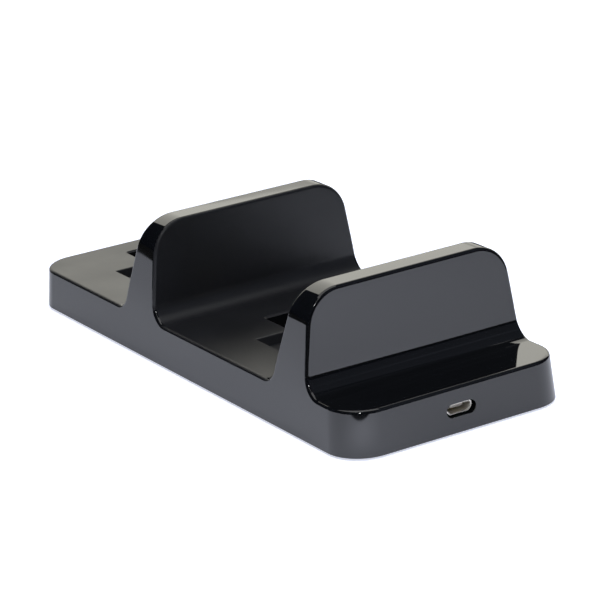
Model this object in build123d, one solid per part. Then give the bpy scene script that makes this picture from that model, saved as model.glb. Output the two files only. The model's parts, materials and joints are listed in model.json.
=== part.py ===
from build123d import *
import math
import os

# A two-seat charging dock for game controllers: one moulded shell with two sloping backrests,
# closed from below by a cover on rubber feet, with a small charging plug standing in each bay.
# Millimetres. +Z is up, the origin is on the table under the middle of the dock, +Y is the inlet end.

# Shell, outer form
dock_length = 171.6
dock_width = 70.0
deck_height = 11.6          # shell's lower edge up to the floors of the bays
shelf_step = 0.85           # shelf at the inlet end, above the floors of the bays
backrest_rise = 27.9        # floors of the bays up to the tops of the backrests
plan_corner_radius = 10.4
wall_draft = 3.9            # degrees, base walls
backrest_draft = 8.2        # degrees, side walls above the base
draft_blend_radius = 120.0  # large radius between the two drafts
draft_blend_start = 1.0     # height above the floors of the bays where that radius begins
edge_round = 1.0

# Backrests
shelf_length = 20.8         # foot of the rear backrest's upright face to the inlet end
front_bay_short = 7.6       # front bay is this much shorter than the rear one
backrest_top = 7.2          # thickness along Y at the top
upright_draft = 2.0         # degrees, upright face
backrest_lean = 18.0        # degrees, sloping face that a controller leans on
backrest_corner_radius = 10.3
heel_radius = 5.5           # hollow at the foot of the upright face
toe_radius = 5.0            # hollow at the foot of the sloping face

# Moulding thicknesses
wall = 2.0
floor_thickness = 1.4       # floors of the wells
rib_thickness = 1.2
rib_spacing = 32.0          # between the ribs inside a backrest
rib_foot = 3.0              # ribs end this far above the floors of the bays

# Wells in the bay floors
plug_ahead = 2.5            # plug's axis in front of the nose well, at deck height
plug_well_width = 17.0
plug_well_length = 22.4
plug_well_corner = 0.8
plug_well_rim = 0.5         # bevel round the mouth
nose_well_width = 40.0
nose_well_length = 24.8
nose_well_gap = 2.2         # hollow at the foot of the sloping face to the nose well
nose_well_depth = 2.6       # at the front wall, from where the floor rises to nothing
nose_well_slope = 15.0      # degrees, front wall off upright
nose_well_rim = 0.5         # round along the front wall

# Bottom cover and feet
cover_thickness = 1.8
cover_recess = 0.3          # cover lies this far inside the shell's lower edge
cover_gap = 0.15
foot_radius = 5.0
foot_proud = 0.8            # feet below the shell's lower edge
foot_recess = 0.8           # depth of the foot pockets
foot_gap = 0.1
foot_bevel = 0.4
foot_inset_x = 11.0
foot_inset_y = 25.5

# Case screws
case_screw_inset_x = 5.5    # from the inner wall
case_screw_inset_y = 8.5
case_screw_shank = 1.25     # radius
case_screw_head = 2.4       # radius
case_screw_length = 7.5
case_boss_radius = 3.0
screw_gap = 0.05
screw_recess_depth = 0.6    # cross recess in every screw head
screw_recess_width = 0.5
screw_recess_span = 1.2     # length of the cross over the head's radius

# Boards
board_thickness = 1.2
board_standoff = 1.6        # top of the cover to the boards
board_corner = 1.0
main_board_width = 42.0
main_board_length = 30.0
main_board_gap = 0.4        # main board to the end wall
plug_board_width = 34.0
solder_strip = 2.2          # plug boards beyond the flanges of the seats, where the leads are soldered
board_screw_shank = 0.8     # radius
board_screw_head = 1.7      # radius
board_screw_head_height = 0.9
board_screw_bevel = 0.3
board_screw_length = 4.2
board_boss_radius = 2.4
board_screw_edge = 3.2      # screw axis to the board's edge
main_screw_setback = 8.0    # main board's screws to its end beside the inlet
post_radius = 1.8
post_spacing = 14.0

# Inlet socket
inlet_width = 7.9           # at the flared mouth
inlet_height = 2.84
inlet_depth = 5.5
inlet_sheet = 0.25
inlet_flare = 0.25          # mouth wider than the body, on every side
inlet_flare_depth = 0.7
inlet_set_in = 1.1          # socket's mouth behind the end wall's face
inlet_upper_chamfer = 0.5
inlet_lower_chamfer = 1.0
inlet_window_margin_x = 0.66
inlet_window_margin_z = 0.4
tongue_thickness = 0.6
tongue_width = 4.0
tongue_drop = 0.45          # socket's roof to the tongue
tongue_set_in = 0.7         # tongue's end behind the flare
socket_back = 1.2           # solid back of the insulator

# Charging plugs
plug_width = 6.85
plug_thickness = 1.8
plug_sheet = 0.25
plug_reach = 6.0            # beyond the seat
plug_seated = 3.5           # inside the seat
plug_chamfer = 0.55
latch_width = 0.9
latch_length = 2.4
latch_spacing = 4.0
latch_setback = 1.2         # latch slots to the plug's mouth
latch_slot = 0.15           # gap beside and above a latch
latch_rise = 0.22           # crest of a latch above the sheet
latch_crest = 1.7           # crest of a latch above its root
plug_fit = 0.03             # insulators inside their metal shells
plug_back = 4.0             # solid back of the insulator
plug_lining = 0.5           # insulator plate behind the contacts
plug_lining_set_in = 0.4    # plate's end behind the plug's mouth
seat_width = 11.0
seat_depth = 5.2
seat_round = 1.2
seat_below_deck = 0.4
seat_gap = 0.25
seat_flange_width = 15.0
seat_flange_length = 11.0
seat_flange_thickness = 1.2
seat_flange_gap = 0.1

# Contacts, chips and leads
contact_count = 5
contact_pitch = 0.65
contact_width = 0.3
contact_thickness = 0.12
chip_size = (5.0, 4.0, 1.5)
chip_spacing = 16.0
chip_setback = 18.0         # chips to the main board's inlet end
capacitor_size = (3.2, 1.6, 1.4)
capacitor_spacing = 9.0
capacitor_rows = (24.0, 27.0)
lead_radius = 0.6
lead_count = 3
lead_pitch = 1.6
lead_end_gap = 0.5          # lead ends to the flanges of the seats
lead_bend = 3.0

# Heights worked out from the sizes above
half_length = dock_length / 2
half_width = dock_width / 2
shell_bottom = foot_proud
deck_z = shell_bottom + deck_height
shelf_z = deck_z + shelf_step
top_z = deck_z + backrest_rise
cover_bottom = shell_bottom + cover_recess
cover_top = cover_bottom + cover_thickness
board_bottom = cover_top + board_standoff
board_top = board_bottom + board_thickness
inlet_z = board_top + inlet_height / 2 - inlet_flare
flange_top = board_top + seat_flange_thickness
well_floor_bottom = flange_top + seat_flange_gap
well_floor_top = well_floor_bottom + floor_thickness

# Places worked out from the sizes above
draft_run = math.tan(math.radians(wall_draft))
backrest_draft_run = math.tan(math.radians(backrest_draft))
lean_run = math.tan(math.radians(backrest_lean))
upright_run = math.tan(math.radians(upright_draft))
rear_backrest_y = half_length - shelf_length
backrest_pitch = (dock_length - shelf_length + front_bay_short) / 2
backrests = {"front": rear_backrest_y - backrest_pitch, "rear": rear_backrest_y}
toe_reach = backrest_top + backrest_rise * (lean_run + upright_run)
hollow_reach = toe_reach + toe_radius * math.tan(math.radians(90 - backrest_lean) / 2)
nose_well_rear = hollow_reach + nose_well_gap
nose_well_front = nose_well_rear + nose_well_length
plug_setback = nose_well_front + plug_ahead
plug_board_length = seat_flange_length + 2 * solder_strip
case_screw_x = half_width - wall - case_screw_inset_x
case_screw_y = half_length - wall - case_screw_inset_y
case_screw_places = [(sx * case_screw_x, sy * case_screw_y) for sx in (-1, 1) for sy in (-1, 1)]
foot_x = half_width - foot_inset_x
foot_y = half_length - foot_inset_y
inlet_face_y = half_length - draft_run * (inlet_z - shell_bottom)
inlet_mouth_y = inlet_face_y - inlet_set_in
main_board_end = half_length - draft_run * (board_top - shell_bottom) - wall - main_board_gap
main_board_y = main_board_end - main_board_length / 2
main_screw_places = [(s * (main_board_width / 2 - board_screw_edge), main_board_end - main_screw_setback)
                     for s in (-1, 1)]
main_post_y = main_board_end - main_board_length + board_screw_edge
main_post_places = [(s * post_spacing, main_post_y) for s in (-1, 1)]
plug_screw_x = plug_board_width / 2 - board_screw_edge


def seat_axis_y(backrest_y, z):
    # the plug's axis leans with the sloping face and crosses the deck at the plug setback
    return backrest_y - plug_setback - (deck_z - z) * lean_run


def plug_board_y(backrest_y):
    return seat_axis_y(backrest_y, board_top)


def slab(width, length, bottom, top, x=0.0, y=0.0, corner=0.0):
    outline = RectangleRounded(width, length, corner) if corner else Rectangle(width, length)
    return Pos(x, y, bottom) * extrude(outline, top - bottom)


def post(radius, bottom, top, x, y):
    return Pos(x, y, bottom) * extrude(Circle(radius), top - bottom)


# Shell, outer and inner form
skirt = 10.0                # the profiles run on below the shell's lower edge and are cut off there
near = 0.01                 # two places closer than this are the same
sharp_turn = 20.0           # degrees, edges that turn by more than this are rounded
bevel_angle = 45.0


def gate_profile():
    # cross-section of base and backrest: two drafts with a large radius between them, rounded top corners
    bend = math.radians(backrest_draft - wall_draft) / 2
    bend_z = deck_z + draft_blend_start + draft_blend_radius * math.tan(bend)
    foot_half = half_width + draft_run * skirt
    bend_half = half_width - draft_run * (bend_z - shell_bottom)
    top_half = bend_half - backrest_draft_run * (top_z - bend_z)
    right = [(foot_half, shell_bottom - skirt), (bend_half, bend_z), (top_half, top_z)]
    left = [(-x, z) for x, z in reversed(right)]
    profile = Plane.XZ * make_face(Polyline(*right, *left, close=True))
    bends = [v for v in profile.vertices() if abs(v.Z - bend_z) < near]
    profile = fillet(bends, draft_blend_radius)
    tops = [v for v in profile.vertices() if abs(v.Z - top_z) < near]
    return fillet(tops, backrest_corner_radius)


def side_profile():
    # side elevation: the floors of the two bays, the shelf, and the backrests carried on past their tops
    crown_z = top_z + wall + edge_round
    crown_rise = crown_z - deck_z
    foot_half = half_length + draft_run * skirt
    front_end = draft_run * deck_height - half_length
    rear_end = half_length - draft_run * (deck_height + shelf_step)
    points = [(-foot_half, shell_bottom - skirt), (front_end, deck_z)]
    toes = []
    heels = []
    for name, upright in backrests.items():
        toe = (upright - toe_reach, deck_z)
        step = shelf_step if name == "rear" else 0.0
        heel = (upright - step * upright_run, deck_z + step)
        points += [toe, (toe[0] + crown_rise * lean_run, crown_z),
                   (upright - crown_rise * upright_run, crown_z), heel]
        toes.append(toe)
        heels.append(heel)
    points += [(rear_end, shelf_z), (foot_half, shell_bottom - skirt)]
    profile = Plane.YZ * make_face(Polyline(*points, close=True))

    def corners(places):
        return [v for v in profile.vertices()
                if min(math.hypot(v.Y - y, v.Z - z) for y, z in places) < near]

    profile = fillet(corners(toes), toe_radius)
    return fillet(corners(heels), heel_radius)


def dock_form(inset):
    # the whole form, shrunk by inset on every side, with its plan corners rounded
    gate = offset(gate_profile(), -inset) if inset else gate_profile()
    side = offset(side_profile(), -inset) if inset else side_profile()
    form = extrude(gate, dock_length, both=True) & extrude(side, dock_width, both=True)
    corners = [e for e in form.edges()
               if e.bounding_box().size.Z > deck_height / 2
               and abs(e.center().Y) > half_length - inset - deck_height * draft_run
               and e.center().Z < deck_z]
    return fillet(corners, plan_corner_radius - inset)


def meets_sharply(edge, faces):
    # true where the two faces beside an edge meet at a sharp turn
    middle = edge @ 0.5
    normals = [f.normal_at(middle) for f in faces if edge in f.edges()]
    return len(normals) == 2 and normals[0].get_angle(normals[1]) > sharp_turn


def outer_form():
    form = split(dock_form(0.0), Plane.XY.offset(shell_bottom), keep=Keep.TOP)
    faces = form.faces()
    rims = [e for e in form.edges() if e.center().Z > shell_bottom + near and meets_sharply(e, faces)]
    return fillet(rims, edge_round)


# Wells
def nose_well_cut(backrest_y):
    # well for the controller's nose: a steep front wall and a floor that rises towards the backrest
    front = backrest_y - nose_well_front
    rear = backrest_y - nose_well_rear
    run = nose_well_depth * math.tan(math.radians(nose_well_slope))
    side = [(front, deck_z), (front + run, deck_z - nose_well_depth), (rear, deck_z)]
    section = Plane.YZ * make_face(Polyline(*side, close=True))
    return extrude(section, nose_well_width / 2, both=True)


def nose_well_cup(backrest_y):
    # wall and floor under that well
    front = backrest_y - nose_well_front - floor_thickness
    rear = backrest_y - nose_well_rear
    bottom = deck_z - nose_well_depth - floor_thickness
    side = [(front, deck_z), (front, bottom), (front + 2 * floor_thickness, bottom),
            (rear, deck_z - floor_thickness), (rear, deck_z)]
    section = Plane.YZ * make_face(Polyline(*side, close=True))
    return extrude(section, nose_well_width / 2 + floor_thickness, both=True)


def plug_well_cut(backrest_y):
    # deep well round the plug, with a bevelled mouth
    y = backrest_y - plug_setback
    well = slab(plug_well_width, plug_well_length, well_floor_top, deck_z, y=y, corner=plug_well_corner)
    mouth = RectangleRounded(plug_well_width + 2 * plug_well_rim, plug_well_length + 2 * plug_well_rim,
                             plug_well_corner + plug_well_rim)
    return well + Pos(0, y, deck_z) * extrude(mouth, -plug_well_rim, taper=bevel_angle)


def plug_well_cup(backrest_y):
    side = 2 * floor_thickness
    return slab(plug_well_width + side, plug_well_length + side, well_floor_bottom, deck_z,
                y=backrest_y - plug_setback, corner=plug_well_corner + floor_thickness)


def seat_plane(backrest_y):
    lean = math.radians(backrest_lean)
    return Plane(origin=(0, backrest_y - plug_setback, deck_z), x_dir=(1, 0, 0),
                 z_dir=(0, math.sin(lean), math.cos(lean)))


def seat_neck(backrest_y, grow):
    # leaning neck of a plug seat, or with grow the slot that it passes through
    plane = seat_plane(backrest_y)
    outline = RectangleRounded(seat_width + 2 * grow, seat_depth + 2 * grow, seat_round + grow)
    neck = plane * Pos(0, 0, -seat_below_deck) * extrude(outline, -dock_width / 2)
    return split(neck, Plane.XY.offset(board_top), keep=Keep.TOP)


# Screws
def cross_recess(radius, z):
    bar = (screw_recess_span * radius, screw_recess_width, screw_recess_depth)
    up = Pos(0, 0, z + screw_recess_depth / 2)
    return up * Box(*bar) + up * Rot(0, 0, 90) * Box(*bar)


def case_screw(x, y):
    # flat-headed screw, head down, flush with the cover's underside
    cone = case_screw_head - case_screw_shank
    screw = Cone(case_screw_head, case_screw_shank, cone, align=(Align.CENTER, Align.CENTER, Align.MIN))
    screw += post(case_screw_shank, cone, case_screw_length, 0, 0)
    return Pos(x, y, cover_bottom) * (screw - cross_recess(case_screw_head, 0))


def case_screw_hole(x, y):
    cone = case_screw_head - case_screw_shank
    hole = Cone(case_screw_head + screw_gap, case_screw_shank + screw_gap, cone,
                align=(Align.CENTER, Align.CENTER, Align.MIN))
    shank = post(case_screw_shank + screw_gap, cover_bottom, cover_top, x, y)
    return Pos(x, y, cover_bottom) * hole + shank


def board_screw(x, y):
    # pan-headed screw, head under the board, shank up into its boss
    head_bottom = board_bottom - board_screw_head_height
    screw = post(board_screw_head, head_bottom, board_bottom, 0, 0)
    screw = chamfer(screw.edges().group_by(Axis.Z)[0], board_screw_bevel)
    screw += post(board_screw_shank, board_bottom, board_bottom + board_screw_length, 0, 0)
    return Pos(x, y, 0) * (screw - cross_recess(board_screw_head, head_bottom))


def board_boss(x, y):
    return post(board_boss_radius, board_top, top_z, x, y)


def board_boss_hole(x, y):
    top = board_bottom + board_screw_length + screw_gap
    return post(board_screw_shank + screw_gap, board_top, top, x, y)


def plug_screw_places(backrest_y):
    return [(s * plug_screw_x, plug_board_y(backrest_y)) for s in (-1, 1)]


# Top shell
def inlet_window():
    # stadium-shaped window in the end wall, in front of the inlet socket
    width = inlet_width + 2 * inlet_window_margin_x
    height = inlet_height + 2 * inlet_window_margin_z
    plane = Plane(origin=(0, half_length, inlet_z), x_dir=(-1, 0, 0), z_dir=(0, 1, 0))
    return plane * extrude(SlotOverall(width, height), 2 * wall, both=True)


def backrest_ribs(backrest_y):
    # upright ribs across the hollow of a backrest
    depth = 2 * (hollow_reach + heel_radius)
    return [slab(rib_thickness, depth, deck_z + rib_foot, top_z, x=s * rib_spacing / 2, y=backrest_y)
            for s in (-1, 1)]


def inner_features():
    # ribs, cups under the wells and screw bosses, each running up to the inside of the shell
    features = [board_boss(x, y) for x, y in main_screw_places]
    features += [post(case_boss_radius, cover_top, top_z, x, y) for x, y in case_screw_places]
    for backrest_y in backrests.values():
        features += backrest_ribs(backrest_y)
        features += [nose_well_cup(backrest_y), plug_well_cup(backrest_y)]
        features += [board_boss(x, y) for x, y in plug_screw_places(backrest_y)]
    return features


def make_top_shell():
    cavity = dock_form(wall)
    shell = outer_form() - cavity
    for feature in inner_features():
        shell += feature & cavity
    for backrest_y in backrests.values():
        shell -= nose_well_cut(backrest_y)
    shell = fillet(nose_well_fronts(shell), nose_well_rim)
    for backrest_y in backrests.values():
        shell -= plug_well_cut(backrest_y)
        shell -= seat_neck(backrest_y, seat_gap)
        for x, y in plug_screw_places(backrest_y):
            shell -= board_boss_hole(x, y)
    for x, y in main_screw_places:
        shell -= board_boss_hole(x, y)
    screw_end = cover_bottom + case_screw_length + screw_gap
    for x, y in case_screw_places:
        shell -= post(case_screw_shank + screw_gap, cover_top, screw_end, x, y)
    return shell - inlet_window()


def nose_well_fronts(shell):
    # edges along the front walls of the nose wells, at the height of the bay floors
    fronts = [backrest_y - nose_well_front for backrest_y in backrests.values()]
    return [e for e in shell.edges()
            if abs(e.center().Z - deck_z) < near and e.bounding_box().size.X > nose_well_width - near
            and min(abs(e.center().Y - front) for front in fronts) < near]


# Bottom cover and feet
def foot_places():
    return {f"foot_{end}_{side}": (sx * foot_x, sy * foot_y)
            for end, sy in (("front", -1), ("rear", 1)) for side, sx in (("left", -1), ("right", 1))}


def make_bottom_cover():
    cover = dock_form(wall + cover_gap) & slab(dock_width, dock_length, cover_bottom, cover_top)
    for backrest_y in backrests.values():
        y = plug_board_y(backrest_y)
        for s in (-1, 1):
            cover += post(post_radius, cover_top, board_bottom, s * post_spacing / 2, y)
    for x, y in main_post_places:
        cover += post(post_radius, cover_top, board_bottom, x, y)
    for x, y in foot_places().values():
        cover -= post(foot_radius + foot_gap, cover_bottom, cover_bottom + foot_recess, x, y)
    for x, y in case_screw_places:
        cover -= case_screw_hole(x, y)
    return cover


def make_foot(x, y):
    foot = post(foot_radius, 0, cover_bottom + foot_recess, x, y)
    return chamfer(foot.edges().group_by(Axis.Z)[0], foot_bevel)


# Boards and what they carry
def make_board(width, length, y, screws):
    board = slab(width, length, board_bottom, board_top, y=y, corner=board_corner)
    for sx, sy in screws:
        board -= post(board_screw_shank + screw_gap, board_bottom, board_top, sx, sy)
    return board


def make_chips():
    width, length, height = chip_size
    y = main_board_end - chip_setback
    return [slab(width, length, board_top, board_top + height, x=s * chip_spacing / 2, y=y)
            for s in (-1, 1)]


def make_capacitors():
    width, length, height = capacitor_size
    places = [(s * capacitor_spacing / 2, main_board_end - row) for row in capacitor_rows for s in (-1, 1)]
    return [slab(width, length, board_top, board_top + height, x=x, y=y) for x, y in places]


def inlet_outline(grow):
    # the socket seen from outside: wider above, with larger chamfers below
    half = inlet_width / 2 - grow
    roof = inlet_height / 2 - grow
    upper = inlet_upper_chamfer
    lower = inlet_lower_chamfer
    right = [(half - lower, -roof), (half, -roof + lower), (half, roof - upper), (half - upper, roof)]
    left = [(-x, z) for x, z in reversed(right)]
    return make_face(Polyline(*right, *left, close=True))


inlet_plane = Plane(origin=(0, inlet_mouth_y, inlet_z), x_dir=(-1, 0, 0), z_dir=(0, 1, 0))


def flared_form(grow):
    # straight body with a mouth that flares out
    body = inlet_outline(inlet_flare + grow)
    mouth = loft([Pos(0, 0, -inlet_flare_depth) * body, inlet_outline(grow)])
    return mouth + Pos(0, 0, -inlet_flare_depth) * extrude(body, inlet_flare_depth - inlet_depth)


def make_inlet_shell():
    return inlet_plane * (flared_form(0.0) - flared_form(inlet_sheet))


def tongue_top():
    return inlet_height / 2 - inlet_flare - inlet_sheet - tongue_drop


def make_inlet_tongue():
    inside = inlet_outline(inlet_flare + inlet_sheet + plug_fit)
    back = Pos(0, 0, -inlet_depth) * extrude(inside, socket_back)
    reach = inlet_depth - socket_back - inlet_flare_depth - tongue_set_in
    section = Rectangle(tongue_width, tongue_thickness)
    place = Pos(0, tongue_top() - tongue_thickness / 2, socket_back - inlet_depth)
    return inlet_plane * (back + place * extrude(section, reach))


def contact_row(length):
    first = -contact_pitch * (contact_count - 1) / 2
    strip = extrude(Rectangle(contact_width, contact_thickness), length)
    return [Pos(first + i * contact_pitch, 0, 0) * strip for i in range(contact_count)]


def make_inlet_contacts():
    # strips on the underside of the socket's tongue
    under = tongue_top() - tongue_thickness - contact_thickness / 2
    length = inlet_depth - socket_back - inlet_flare_depth - 2 * tongue_set_in
    place = Pos(0, under, socket_back - inlet_depth)
    return [inlet_plane * place * strip for strip in contact_row(length)]


def make_plug_seat(backrest_y):
    flange = slab(seat_flange_width, seat_flange_length, board_top, flange_top, y=plug_board_y(backrest_y))
    pocket = extrude(plug_outline(-plug_fit), -plug_seated)
    mouth = seat_plane(backrest_y) * Pos(0, 0, -seat_below_deck)
    return flange + seat_neck(backrest_y, 0.0) - mouth * pocket


def plug_outline(grow):
    # plug's section: a flat box with two corners taken off on the side away from the backrest
    half = plug_width / 2 - grow
    deep = plug_thickness / 2 - grow
    right = [(half - plug_chamfer, -deep), (half, plug_chamfer - deep), (half, deep)]
    left = [(-x, z) for x, z in reversed(right)]
    return make_face(Polyline(*right, *left, close=True))


def plug_base(backrest_y):
    # foot of the plug, at the bottom of the seat's pocket
    return seat_plane(backrest_y) * Pos(0, 0, -seat_below_deck - plug_seated)


def latch_slot_cut(x, root):
    width = latch_width + 2 * latch_slot
    length = latch_length + latch_slot
    return Pos(x, plug_thickness / 2, root + length / 2) * Box(width, 2 * plug_sheet, length)


def latch(x, root):
    # spring latch of a plug: rooted in the sheet, with a crest near its free end
    outside = plug_thickness / 2
    inside = outside - plug_sheet
    side = [(inside, root), (outside, root), (outside + latch_rise, root + latch_crest),
            (inside, root + latch_length)]
    section = Plane.YZ * make_face(Polyline(*side, close=True))
    return Pos(x, 0, 0) * extrude(section, latch_width / 2, both=True)


def make_plug_shell(backrest_y):
    length = plug_seated + plug_reach
    tube = extrude(plug_outline(0), length) - extrude(plug_outline(plug_sheet), length)
    root = length - latch_setback - latch_length - latch_slot
    for x in (-latch_spacing / 2, latch_spacing / 2):
        tube -= latch_slot_cut(x, root)
        tube += latch(x, root)
    return plug_base(backrest_y) * tube


def lining_face():
    # inner face of the insulator's plate, where the contacts lie
    return plug_thickness / 2 - plug_sheet - plug_fit - plug_lining


def make_plug_tongue(backrest_y):
    core = plug_outline(plug_sheet + plug_fit)
    back = extrude(core, plug_back)
    length = plug_seated + plug_reach - plug_lining_set_in
    keep = Pos(0, lining_face() + plug_lining / 2, 0) * Rectangle(plug_width, plug_lining)
    return plug_base(backrest_y) * (back + extrude(core & keep, length))


def make_plug_contacts(backrest_y):
    length = plug_seated + plug_reach - plug_back - 2 * plug_lining_set_in
    place = Pos(0, lining_face() - contact_thickness / 2, plug_back)
    return [plug_base(backrest_y) * place * strip for strip in contact_row(length)]


def make_leads(start_y, end_y):
    # leads soldered to two boards, lying down on the cover between them
    on_board = board_top + lead_radius
    on_cover = cover_top + lead_radius
    overlap = solder_strip - lead_end_gap
    drop = 2 * lead_bend + on_board - on_cover
    route = [(start_y + overlap, on_board), (start_y - lead_bend, on_board),
             (start_y - lead_bend - drop, on_cover), (end_y + lead_bend + drop, on_cover),
             (end_y + lead_bend, on_board), (end_y - overlap, on_board)]
    leads = []
    for i in range(lead_count):
        x = (i - (lead_count - 1) / 2) * lead_pitch
        path = FilletPolyline(*[(x, y, z) for y, z in route], radius=lead_bend)
        section = Plane(origin=path @ 0, z_dir=path % 0) * Circle(lead_radius)
        leads.append(sweep(section, path))
    return leads


def main():
    nodes = {"top_shell": make_top_shell(), "bottom_cover": make_bottom_cover()}
    for name, (x, y) in foot_places().items():
        nodes[name] = make_foot(x, y)
    nodes["case_screws"] = [case_screw(x, y) for x, y in case_screw_places]
    nodes["main_board"] = make_board(main_board_width, main_board_length, main_board_y, main_screw_places)
    nodes["main_board_screws"] = [board_screw(x, y) for x, y in main_screw_places]
    nodes["charge_chips"] = make_chips()
    nodes["chip_capacitors"] = make_capacitors()
    nodes["inlet_shell"] = make_inlet_shell()
    nodes["inlet_tongue"] = make_inlet_tongue()
    nodes["inlet_contacts"] = make_inlet_contacts()
    for name, backrest_y in backrests.items():
        places = plug_screw_places(backrest_y)
        board_y = plug_board_y(backrest_y)
        nodes[f"{name}_plug_board"] = make_board(plug_board_width, plug_board_length, board_y, places)
        nodes[f"{name}_plug_board_screws"] = [board_screw(x, y) for x, y in places]
        nodes[f"{name}_plug_seat"] = make_plug_seat(backrest_y)
        nodes[f"{name}_plug_shell"] = make_plug_shell(backrest_y)
        nodes[f"{name}_plug_tongue"] = make_plug_tongue(backrest_y)
        nodes[f"{name}_plug_contacts"] = make_plug_contacts(backrest_y)
    front_board_y = plug_board_y(backrests["front"])
    rear_board_y = plug_board_y(backrests["rear"])
    half_board = plug_board_length / 2
    nodes["rear_leads"] = make_leads(main_board_end - main_board_length, rear_board_y + half_board)
    nodes["front_leads"] = make_leads(rear_board_y - half_board, front_board_y + half_board)
    os.makedirs("parts", exist_ok=True)
    for name, shape in nodes.items():
        solids = Compound(children=list(shape)) if isinstance(shape, list) else shape
        export_step(solids, f"parts/{name}.step")


main()
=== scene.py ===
import json
import math

import bmesh
import bpy
from mathutils import Matrix, Vector


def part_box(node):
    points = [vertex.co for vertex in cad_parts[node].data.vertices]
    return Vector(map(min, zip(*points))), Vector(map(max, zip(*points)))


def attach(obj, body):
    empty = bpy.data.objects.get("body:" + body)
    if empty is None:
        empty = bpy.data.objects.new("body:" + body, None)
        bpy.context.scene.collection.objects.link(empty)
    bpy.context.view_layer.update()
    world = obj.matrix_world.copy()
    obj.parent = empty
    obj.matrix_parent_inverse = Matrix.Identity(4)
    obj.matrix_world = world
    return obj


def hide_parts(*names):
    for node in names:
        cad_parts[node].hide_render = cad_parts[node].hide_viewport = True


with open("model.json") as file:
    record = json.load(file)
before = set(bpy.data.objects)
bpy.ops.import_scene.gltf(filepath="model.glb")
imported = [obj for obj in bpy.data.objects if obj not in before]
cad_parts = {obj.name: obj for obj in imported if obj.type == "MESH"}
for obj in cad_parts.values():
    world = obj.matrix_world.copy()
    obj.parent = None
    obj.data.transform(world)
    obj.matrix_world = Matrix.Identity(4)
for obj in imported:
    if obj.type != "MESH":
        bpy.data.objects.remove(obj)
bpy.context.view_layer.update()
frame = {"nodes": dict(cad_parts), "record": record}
nodes = frame["nodes"]
record = frame["record"]
scene = bpy.context.scene
scene.view_settings.view_transform = "Standard"
mm = 0.001
print("frame loaded, nodes:", len(nodes))

# camera, at the photograph's viewing angle
cameraFit = {
    "yaw": 31.156,          # degrees from the inlet end towards +X
    "pitch": 18.952,        # degrees above the table
    "roll": -3.81,          # degrees
    "distance": 814.72 * mm,
    "aside": 3.8165 * mm,
    "above": 12.9555 * mm,
    "aimHeight": 0.8 * mm,  # shell's lower edge
    "aimAlong": -0.3 * mm,
    "lens": 173.15,         # millimetres, like the sensor
    "sensor": 36.0,
    "clip": (0.01, 20.0),
}


def makeCamera(fit):
    yaw = math.radians(fit["yaw"])
    pitch = math.radians(fit["pitch"])
    roll = math.radians(fit["roll"])
    back = Vector((math.sin(yaw) * math.cos(pitch), math.cos(yaw) * math.cos(pitch), math.sin(pitch)))
    level = (-back).cross(Vector((0, 0, 1))).normalized()
    upright = level.cross(-back)
    right = level * math.cos(roll) + upright * math.sin(roll)
    up = upright * math.cos(roll) - level * math.sin(roll)
    place = back * fit["distance"] + right * fit["aside"] + up * fit["above"]
    place += Vector((0, fit["aimAlong"], fit["aimHeight"]))
    data = bpy.data.cameras.new("photoCamera")
    data.lens = fit["lens"]
    data.sensor_width = fit["sensor"]
    data.clip_start, data.clip_end = fit["clip"]
    camera = bpy.data.objects.new("photoCamera", data)
    camera.matrix_world = Matrix.Translation(place) @ Matrix((right, up, back)).transposed().to_4x4()
    scene.collection.objects.link(camera)
    scene.camera = camera


makeCamera(cameraFit)
print("camera placed")


# helpers for materials
def linear(hexCode):
    channels = [int(hexCode[i:i + 2], 16) / 255 for i in (1, 3, 5)]
    return [c / 12.92 if c <= 0.04045 else ((c + 0.055) / 1.055) ** 2.4 for c in channels] + [1.0]


def addNode(tree, kind, settings=None, values=None, links=None):
    node = tree.nodes.new(kind)
    for key, value in (settings or {}).items():
        setattr(node, key, value)
    for key, value in (values or {}).items():
        node.inputs[key].default_value = value
    for key, socket in (links or {}).items():
        tree.links.new(socket, node.inputs[key])
    return node


def newMaterial(name):
    material = bpy.data.materials.new(name)
    material.use_nodes = True
    tree = material.node_tree
    shader = tree.nodes["Principled BSDF"]
    coords = addNode(tree, "ShaderNodeTexCoord").outputs["Object"]
    return material, tree, shader, coords


def per(sizeMm):
    return 1.0 / (sizeMm * mm)  # texture scale for features of this size


driftSizes = {
    "detail": 3.0,
    "span": (0.3, 0.7),         # the part of the noise that the roughness follows
}
mixSockets = {"amount": 0, "first": 6, "second": 7, "colour": 2}  # of a mix node set to colours


def blend(tree, amount, first, second):
    # each side is a hex code or the colour that another node gives
    node = addNode(tree, "ShaderNodeMix", {"data_type": "RGBA"}, None, {mixSockets["amount"]: amount})
    for side, colour in (("first", first), ("second", second)):
        socket = node.inputs[mixSockets[side]]
        if isinstance(colour, str):
            socket.default_value = linear(colour)
        else:
            tree.links.new(colour, socket)
    return node.outputs[mixSockets["colour"]]


def drift(tree, shader, coords, look):
    # two tones and two roughnesses that run into each other over the drift size
    noise = addNode(tree, "ShaderNodeTexNoise", None,
                    {"Scale": per(look["drift"]), "Detail": driftSizes["detail"]}, {"Vector": coords})
    tint = blend(tree, noise.outputs["Fac"], *look["tones"])
    tree.links.new(tint, shader.inputs["Base Color"])
    low, high = driftSizes["span"]
    smooth, dull = look["rough"]
    rough = addNode(tree, "ShaderNodeMapRange", None,
                    {"From Min": low, "From Max": high, "To Min": smooth, "To Max": dull},
                    {"Value": noise.outputs["Fac"]})
    tree.links.new(rough.outputs[0], shader.inputs["Roughness"])
    return tint


def relief(tree, shader, coords, look):
    # raised grain or waves of the given size and height
    noise = addNode(tree, "ShaderNodeTexNoise", None, {"Scale": per(look["grain"]), "Detail": look["detail"]},
                    {"Vector": coords})
    bump = addNode(tree, "ShaderNodeBump", None, {"Strength": 1.0, "Distance": look["height"] * mm},
                   {"Height": noise.outputs["Fac"]})
    tree.links.new(bump.outputs["Normal"], shader.inputs["Normal"])


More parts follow.
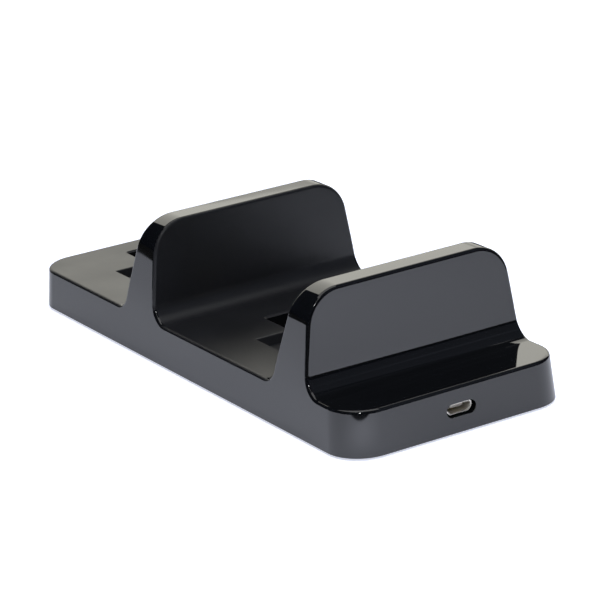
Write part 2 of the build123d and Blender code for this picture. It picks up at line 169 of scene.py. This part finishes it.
# in the looks below, drift, grain, height, pitch and edge are in millimetres
# ABS from a polished tool: a black mirror with faint long waves and a breath of haze
def polishedAbs():
    look = {"tones": ("#060709", "#090a0c"), "drift": 24.0, "rough": (0.03, 0.06),
            "grain": 13.0, "height": 0.012, "detail": 1.0, "ior": 1.62}
    material, tree, shader, coords = newMaterial("polishedAbs")
    drift(tree, shader, coords, look)
    relief(tree, shader, coords, look)
    shader.inputs["IOR"].default_value = look["ior"]
    return material


# ABS from a spark-eroded tool: a fine even grain that spreads the light
def satinAbs():
    look = {"tones": ("#0e0f11", "#15161a"), "drift": 16.0, "rough": (0.36, 0.42),
            "grain": 0.45, "height": 0.006, "detail": 2.0, "ior": 1.54}
    material, tree, shader, coords = newMaterial("satinAbs")
    drift(tree, shader, coords, look)
    relief(tree, shader, coords, look)
    shader.inputs["IOR"].default_value = look["ior"]
    return material


# ABS from an etched tool: the coarser leathery grain of an underside
def etchedAbs():
    look = {"tones": ("#121315", "#1b1c1f"), "drift": 9.0, "rough": (0.5, 0.62),
            "grain": 0.9, "height": 0.03, "detail": 3.0}
    material, tree, shader, coords = newMaterial("etchedAbs")
    drift(tree, shader, coords, look)
    relief(tree, shader, coords, look)
    return material


# moulded rubber: dull, a little grey, with a dusty bloom
def mouldedRubber():
    look = {"tones": ("#161616", "#242423"), "drift": 2.2, "rough": (0.72, 0.9),
            "grain": 0.3, "height": 0.012, "detail": 2.0}
    material, tree, shader, coords = newMaterial("mouldedRubber")
    drift(tree, shader, coords, look)
    relief(tree, shader, coords, look)
    return material


# blackened steel: dark metal that shines where the coat is thin
def blackenedSteel():
    look = {"tones": ("#3a3a3c", "#56555a"), "drift": 0.8, "rough": (0.28, 0.45),
            "grain": 0.12, "height": 0.004, "detail": 2.0}
    material, tree, shader, coords = newMaterial("blackenedSteel")
    drift(tree, shader, coords, look)
    relief(tree, shader, coords, look)
    shader.inputs["Metallic"].default_value = 1.0
    return material


# nickel-plated steel sheet, stamped and folded: bright, slightly warm, with a soft mottle
def nickelSheet():
    look = {"tones": ("#f0ece2", "#dad6cc"), "drift": 1.5, "rough": (0.46, 0.56),
            "grain": 0.1, "height": 0.002, "detail": 2.0}
    material, tree, shader, coords = newMaterial("nickelSheet")
    drift(tree, shader, coords, look)
    relief(tree, shader, coords, look)
    shader.inputs["Metallic"].default_value = 1.0
    return material


# gold plate: small bright yellow strips
def goldPlate():
    look = {"tones": ("#e6c26a", "#d3a94c"), "drift": 0.6, "rough": (0.2, 0.32)}
    material, tree, shader, coords = newMaterial("goldPlate")
    drift(tree, shader, coords, look)
    shader.inputs["Metallic"].default_value = 1.0
    return material


# moulded insulator: plain black, dull, without grain that the eye could see
def mouldedInsulator():
    look = {"tones": ("#131314", "#1c1c1d"), "drift": 1.2, "rough": (0.45, 0.55)}
    material, tree, shader, coords = newMaterial("mouldedInsulator")
    drift(tree, shader, coords, look)
    return material


# natural nylon: the pale greyish cream of an undyed insulator, softly shining
def naturalNylon():
    look = {"tones": ("#a8a397", "#b6b1a5"), "drift": 1.4, "rough": (0.4, 0.5)}
    material, tree, shader, coords = newMaterial("naturalNylon")
    drift(tree, shader, coords, look)
    return material


# varnished laminate: green board with paler lines of copper under the varnish
def varnishedLaminate():
    look = {"tones": ("#12401f", "#1a5229"), "drift": 6.0, "rough": (0.22, 0.32), "copper": "#2f7a45",
            "pitch": 2.4, "line": 0.06, "run": 4.0, "shift": 0.5}  # line, run and shift are parts of the pitch
    material, tree, shader, coords = newMaterial("varnishedLaminate")
    tint = drift(tree, shader, coords, look)
    lines = addNode(tree, "ShaderNodeTexBrick", {"offset": look["shift"]},
                    {"Scale": per(look["pitch"]), "Mortar Size": look["line"], "Brick Width": look["run"],
                     "Row Height": 1.0, "Mortar": linear(look["copper"])},
                    {"Vector": coords, "Color1": tint, "Color2": tint})
    tree.links.new(lines.outputs["Color"], shader.inputs["Base Color"])
    return material


# moulded epoxy: the dull dark grey of chip packages
def mouldedEpoxy():
    look = {"tones": ("#1c1c1d", "#262628"), "drift": 0.7, "rough": (0.5, 0.62),
            "grain": 0.15, "height": 0.005, "detail": 2.0}
    material, tree, shader, coords = newMaterial("mouldedEpoxy")
    drift(tree, shader, coords, look)
    relief(tree, shader, coords, look)
    return material


# fired ceramic: tan blocks, slightly uneven in colour
def firedCeramic():
    look = {"tones": ("#b08f6c", "#c4a581"), "drift": 0.9, "rough": (0.4, 0.55)}
    material, tree, shader, coords = newMaterial("firedCeramic")
    drift(tree, shader, coords, look)
    return material


# soft vinyl: three leads side by side, red, black and white
def softVinyl():
    look = {"tones": ("#8f1a1a", "#a32222"), "drift": 5.0, "rough": (0.35, 0.45),
            "black": "#18181a", "white": "#d5d3cd", "edge": 0.8}  # edge is half the pitch of the leads
    material, tree, shader, coords = newMaterial("softVinyl")
    red = drift(tree, shader, coords, look)
    edge = look["edge"] * mm
    across = addNode(tree, "ShaderNodeSeparateXYZ", None, None, {0: coords}).outputs["X"]
    isMiddle = addNode(tree, "ShaderNodeMath", {"operation": "GREATER_THAN"}, {1: -edge}, {0: across})
    isLast = addNode(tree, "ShaderNodeMath", {"operation": "GREATER_THAN"}, {1: edge}, {0: across})
    two = blend(tree, isMiddle.outputs[0], red, look["black"])
    three = blend(tree, isLast.outputs[0], two, look["white"])
    tree.links.new(three, shader.inputs["Base Color"])
    return material


finishes = {
    "shell": polishedAbs(),
    "cover": etchedAbs(),
    "foot": mouldedRubber(),
    "screw": blackenedSteel(),
    "board": varnishedLaminate(),
    "chip": mouldedEpoxy(),
    "capacitor": firedCeramic(),
    "connector_metal": nickelSheet(),
    "insulator": mouldedInsulator(),
    "contact": goldPlate(),
    "seat": satinAbs(),
    "lead": softVinyl(),
}
ownFinishes = {"inlet_tongue": naturalNylon()}
print("materials made:", len(finishes) + len(ownFinishes))

# every node: a merged, smooth-shaded copy in its own material
copySizes = {
    "merge": 0.001 * mm,
    "flat": math.radians(0.2),    # faces this close to one plane are joined
    "sharp": math.radians(32.0),  # edges above this stay sharp
    "weight": 90,
    "bevelRows": 2,
}
bevelSizes = {                    # folded and moulded edges, too fine for the solids
    "inlet_shell": 0.06 * mm,
    "front_plug_shell": 0.05 * mm,
    "rear_plug_shell": 0.05 * mm,
    "front_plug_tongue": 0.04 * mm,
    "rear_plug_tongue": 0.04 * mm,
    "inlet_tongue": 0.05 * mm,
    "front_plug_seat": 0.2 * mm,
    "rear_plug_seat": 0.2 * mm,
}
heelSizes = {                     # the hollow at the foot of the rear backrest, towards the inlet
    "low": 13.3 * mm,
    "top": 18.56 * mm,
    "span": (63.7 * mm, 72.0 * mm),
    "facing": 0.99,               # slope of the upright face above it
    "ease": 2.45 * mm,            # it runs out over this height
    "push": 0.066 * mm,
    "rows": 4,
}


def uprightParts(bm):
    low, high = heelSizes["span"]
    faces = [f for f in bm.faces
             if f.normal.y > heelSizes["facing"] and low < f.calc_center_median().y < high]
    edges = list({e for f in faces for e in f.edges})
    corners = list({v for f in faces for v in f.verts})
    return faces, edges, corners


def easeHeel(bm):
    # rows are cut into the upright face, then the hollow moves out and the rows follow it less and less
    size = heelSizes
    low, high = size["span"]
    faces, edges, corners = uprightParts(bm)
    bmesh.ops.dissolve_limit(bm, angle_limit=copySizes["flat"], verts=corners, edges=edges)
    for row in range(1, size["rows"] + 1):
        faces, edges, corners = uprightParts(bm)
        line = (0, 0, size["top"] + size["ease"] * row / size["rows"])
        bmesh.ops.bisect_plane(bm, geom=faces + edges + corners, plane_co=line, plane_no=(0, 0, 1))
    for vert in bm.verts:
        rise = max(0.0, (vert.co.z - size["top"]) / size["ease"])
        if low < vert.co.y < high and vert.co.z > size["low"] and rise < 1.0:
            vert.co.y += size["push"] * (1.0 - rise) ** 2


def bevelEdges(bm, width):
    bmesh.ops.dissolve_limit(bm, angle_limit=copySizes["flat"], verts=bm.verts, edges=bm.edges)
    sharp = [e for e in bm.edges if e.calc_face_angle(0.0) > copySizes["sharp"]]
    bmesh.ops.bevel(bm, geom=sharp, offset=width, segments=copySizes["bevelRows"], profile=0.5,
                    affect="EDGES", material=-1, clamp_overlap=True)


def smoothCopy(node, slot):
    mesh = nodes[node].data.copy()
    mesh.name = node + "_skin"
    bm = bmesh.new()
    bm.from_mesh(mesh)
    bmesh.ops.remove_doubles(bm, verts=bm.verts, dist=copySizes["merge"])
    if node in bevelSizes:
        bevelEdges(bm, bevelSizes[node])
    if node == "top_shell":
        easeHeel(bm)
    for face in bm.faces:
        face.smooth = True
    for edge in bm.edges:
        edge.smooth = edge.calc_face_angle(0.0) < copySizes["sharp"]
    bm.to_mesh(mesh)
    bm.free()
    if "custom_normal" in mesh.attributes:
        mesh.attributes.remove(mesh.attributes["custom_normal"])
    mesh.materials.clear()
    mesh.materials.append(ownFinishes.get(node, finishes[slot]))
    piece = bpy.data.objects.new(node + "_skin", mesh)
    scene.collection.objects.link(piece)
    weigh = piece.modifiers.new("weighNormals", "WEIGHTED_NORMAL")
    weigh.mode = "FACE_AREA"
    weigh.weight = copySizes["weight"]
    weigh.keep_sharp = True
    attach(piece, "root")
    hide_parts(node)
    return piece


skins = {}
for subpart in record["subparts"]:
    skins[subpart["node"]] = smoothCopy(subpart["node"], subpart["material_slot"])
print("pieces dressed:", len(skins))

# top shell: the bays have a satin grain, the rest is polished
shellSizes = {
    "rearCrown": 56.8 * mm,       # front edge of the rear backrest's top
    "frontUpright": -14.2 * mm,   # foot of the front backrest's upright face
    "uprightLean": 2.0 * mm,      # that face and its rims lie within this distance of the foot
    "topRound": 1.4 * mm,
    "endRound": 2.2 * mm,
    "wellWidth": 41.5 * mm,
    "noseDepth": 2.7 * mm,        # nose wells have the grain, the deeper plug wells are polished
    "plugWidth": 17.1 * mm,
    "plugRim": 0.5 * mm,
    "slack": 0.01 * mm,           # the deck itself counts as below its own height
    "rimTurn": 0.4,               # the grain runs over the rims of the bays as far as this slope
    "wellTurn": 0.5,              # floors of the wells are above this slope
    "sideTurn": 0.02,             # faces that look sideways more than this belong to a rim
    "upTurn": 0.01,               # the rest has the grain where it looks up
}
deckHeight = next(m["pos_m"][2] for m in record["mounts"] if m["name"] == "rear_deck")
shellLow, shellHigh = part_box("top_shell")


def inBay(centre, normal):
    # bay floors, hollows and the faces that a controller touches
    size = shellSizes
    if -size["uprightLean"] < centre.y - size["frontUpright"] < 0.0 and normal.y > size["rimTurn"]:
        return True
    if centre.z > shellHigh.z - size["topRound"] or centre.y > size["rearCrown"]:
        return False
    if centre.y < shellLow.y + size["endRound"]:
        return normal.z > size["rimTurn"]
    below = deckHeight - centre.z
    aside = abs(centre.x)
    if below > size["noseDepth"]:
        return False
    if aside < size["plugWidth"] / 2 and below > size["plugRim"] and normal.z < size["wellTurn"]:
        return False
    if aside < size["wellWidth"] / 2 and below > -size["slack"] and normal.z > -size["wellTurn"]:
        return True
    if abs(normal.x) > size["sideTurn"]:
        return normal.z > size["rimTurn"] and below > -size["slack"]
    return normal.z > size["upTurn"]


shell = skins["top_shell"]
shell.data.materials.append(finishes["seat"])
for face in shell.data.polygons:
    if inBay(face.center, face.normal):
        face.material_index = 1
print("shell faces:", len(shell.data.polygons))

# studio: a pale floor with black cards that only gloss sees, a dim room, and lamps
floorLook = {
    "radius": 1.6,
    "segments": 96,
    "tint": "#edf1ff",
    "paper": 0.8,
    "white": 0.75,            # the part of the floor's white that no shadow reaches, as the camera sees it
    "mirrored": 0.2,          # and as gloss sees it
}
cardLook = {
    "sheet": (0.42, 0.305),   # the pale part of the floor that gloss sees, its length square to the camera
    "place": (-0.0124, -0.0013),
    "reach": 1.7,
    "lift": 0.2 * mm,
    "tint": "#141416",
}
roomLook = {"tint": "#c4d4ff", "strength": 0.025}


def makeFloor():
    bm = bmesh.new()
    bmesh.ops.create_circle(bm, cap_ends=True, segments=floorLook["segments"], radius=floorLook["radius"])
    mesh = bpy.data.meshes.new("floor")
    bm.to_mesh(mesh)
    bm.free()
    floor = bpy.data.objects.new("floor", mesh)
    scene.collection.objects.link(floor)
    material = bpy.data.materials.new("paleFloor")
    material.use_nodes = True
    tree = material.node_tree
    tree.nodes.clear()
    tint = linear(floorLook["tint"])
    path = addNode(tree, "ShaderNodeLightPath")
    mirrored = addNode(tree, "ShaderNodeMath", {"operation": "MAXIMUM"}, None,
                       {0: path.outputs["Is Glossy Ray"], 1: path.outputs["Is Transmission Ray"]})
    dim = addNode(tree, "ShaderNodeMath", {"operation": "MULTIPLY"}, {1: floorLook["mirrored"]},
                  {0: mirrored.outputs[0]})
    glow = addNode(tree, "ShaderNodeMath", {"operation": "MULTIPLY_ADD"}, {1: floorLook["white"]},
                   {0: path.outputs["Is Camera Ray"], 2: dim.outputs[0]})
    paper = addNode(tree, "ShaderNodeBsdfDiffuse", None, {"Color": [floorLook["paper"] * c for c in tint]})
    white = addNode(tree, "ShaderNodeEmission", None, {"Color": tint}, {"Strength": glow.outputs[0]})
    both = addNode(tree, "ShaderNodeAddShader", None, None, {0: paper.outputs[0], 1: white.outputs[0]})
    addNode(tree, "ShaderNodeOutputMaterial", None, None, {"Surface": both.outputs[0]})
    mesh.materials.append(material)


def makeCards():
    # black cards laid round the sheet, which only gloss sees
    width, depth = cardLook["sheet"]
    reach = 2 * cardLook["reach"]
    turn = Matrix.Rotation(-math.radians(cameraFit["yaw"]), 3, "Z")
    bm = bmesh.new()
    bmesh.ops.create_grid(bm, x_segments=1, y_segments=1, size=0.5)
    bmesh.ops.scale(bm, vec=(width + reach, depth + reach, 1), verts=bm.verts)
    bmesh.ops.inset_region(bm, faces=bm.faces[:], thickness=cardLook["reach"], use_even_offset=True,
                           use_boundary=True)
    hole = [f for f in bm.faces if f.calc_center_median().length < mm]
    bmesh.ops.delete(bm, geom=hole, context="FACES_ONLY")
    bmesh.ops.rotate(bm, matrix=turn, verts=bm.verts)
    bmesh.ops.translate(bm, vec=(*cardLook["place"], cardLook["lift"]), verts=bm.verts)
    mesh = bpy.data.meshes.new("blackCards")
    bm.to_mesh(mesh)
    bm.free()
    cards = bpy.data.objects.new("blackCards", mesh)
    scene.collection.objects.link(cards)
    material = bpy.data.materials.new("blackCard")
    material.use_nodes = True
    shader = material.node_tree.nodes["Principled BSDF"]
    shader.inputs["Base Color"].default_value = linear(cardLook["tint"])
    shader.inputs["Roughness"].default_value = 1.0
    mesh.materials.append(material)
    cards.visible_camera = False
    cards.visible_diffuse = False
    cards.visible_shadow = False


def makeWorld():
    world = bpy.data.worlds.new("studio")
    scene.world = world
    world.use_nodes = True
    tree = world.node_tree
    tree.nodes.clear()
    path = addNode(tree, "ShaderNodeLightPath")
    room = addNode(tree, "ShaderNodeBackground", None,
                   {"Color": linear(roomLook["tint"]), "Strength": roomLook["strength"]})
    white = addNode(tree, "ShaderNodeBackground", None, {"Color": (1, 1, 1, 1), "Strength": 1.0})
    both = addNode(tree, "ShaderNodeMixShader", None, None,
                   {0: path.outputs["Is Camera Ray"], 1: room.outputs[0], 2: white.outputs[0]})
    addNode(tree, "ShaderNodeOutputWorld", None, None, {"Surface": both.outputs[0]})


# places and sizes in metres, a radiance of 1 is white, a spread in degrees
lamps = {
    # softbox behind the dock, with a dimmer lower part
    "backSoftbox": {"place": (-0.73, -1.08, 0.935), "aim": (0, 0, 0.935), "size": (2.26, 1.01),
                    "radiance": 1.8, "tint": "#fffdf2"},
    "backLow": {"place": (-0.73, -1.08, 0.23), "aim": (0, 0, 0.23), "size": (2.26, 0.4),
                "radiance": 1.1, "tint": "#fffdf2"},
    # dim walls at the camera's right
    "sideBox": {"place": (-0.95, 0.45, 1.25), "aim": (0, 0, 0), "size": (1.3, 0.7),
                "radiance": 0.085, "tint": "#dfe8ff"},
    "farWall": {"place": (-0.75, 1.15, 0.62), "aim": (0, 0, 0.05), "size": (1.2, 0.9),
                "radiance": 0.09, "tint": "#dfe8ff"},
    # overhead, the second for the light line on the shelf's rim
    "topBox": {"place": (0, -0.1, 1.35), "aim": (0, -0.1, 0), "size": (1.2, 1.2), "radiance": 1.2},
    "rimBox": {"place": (-0.78, -0.48, 1.35), "aim": (-0.78, -0.48, 0), "size": (0.3, 0.5), "radiance": 0.75},
    # small and bright beside the camera, for the sparks on the rims
    "cameraLamp": {"place": (0.47, 0.7, 0.56), "aim": (0, 0, 0.03), "size": (0.07, 0.07), "radiance": 60.0},
    "cameraStrip": {"place": (0.42, 0.66, 0.9), "aim": (0, 0, 0.03), "size": (0.05, 0.5), "radiance": 5.0},
    # over the sheet, to light what the walls mirror
    "fill": {"place": (0.1, 0.3, 0.5), "aim": (0.1, 0.3, 0), "size": (0.5, 0.5), "radiance": 4.0,
             "mirrored": False},
    "pool": {"place": (0.02, 0.2, 0.12), "aim": (0.02, 0.2, 0), "size": (0.2, 0.1), "radiance": 1.8,
             "mirrored": False},
    "cornerPool": {"place": (0.05, 0.116, 0.09), "aim": (0.05, 0.116, 0), "size": (0.03, 0.03),
                   "radiance": 3.4, "mirrored": False, "spread": 60.0},
}


def makeLamp(name, look):
    width, height = look["size"]
    place = Vector(look["place"])
    data = bpy.data.lights.new(name, "AREA")
    data.shape = "RECTANGLE"
    data.size = width
    data.size_y = height
    data.spread = math.radians(look.get("spread", 180.0))
    data.energy = look["radiance"] * math.pi * width * height
    data.color = linear(look.get("tint", "#ffffff"))[:3]
    lamp = bpy.data.objects.new(name, data)
    lamp.location = place
    lamp.rotation_euler = (Vector(look["aim"]) - place).to_track_quat("-Z", "Y").to_euler()
    lamp.visible_camera = False
    lamp.visible_glossy = look.get("mirrored", True)
    scene.collection.objects.link(lamp)


makeFloor()
makeCards()
makeWorld()
for lampName, lampLook in lamps.items():
    makeLamp(lampName, lampLook)
print("studio set, lamps:", len(lamps))
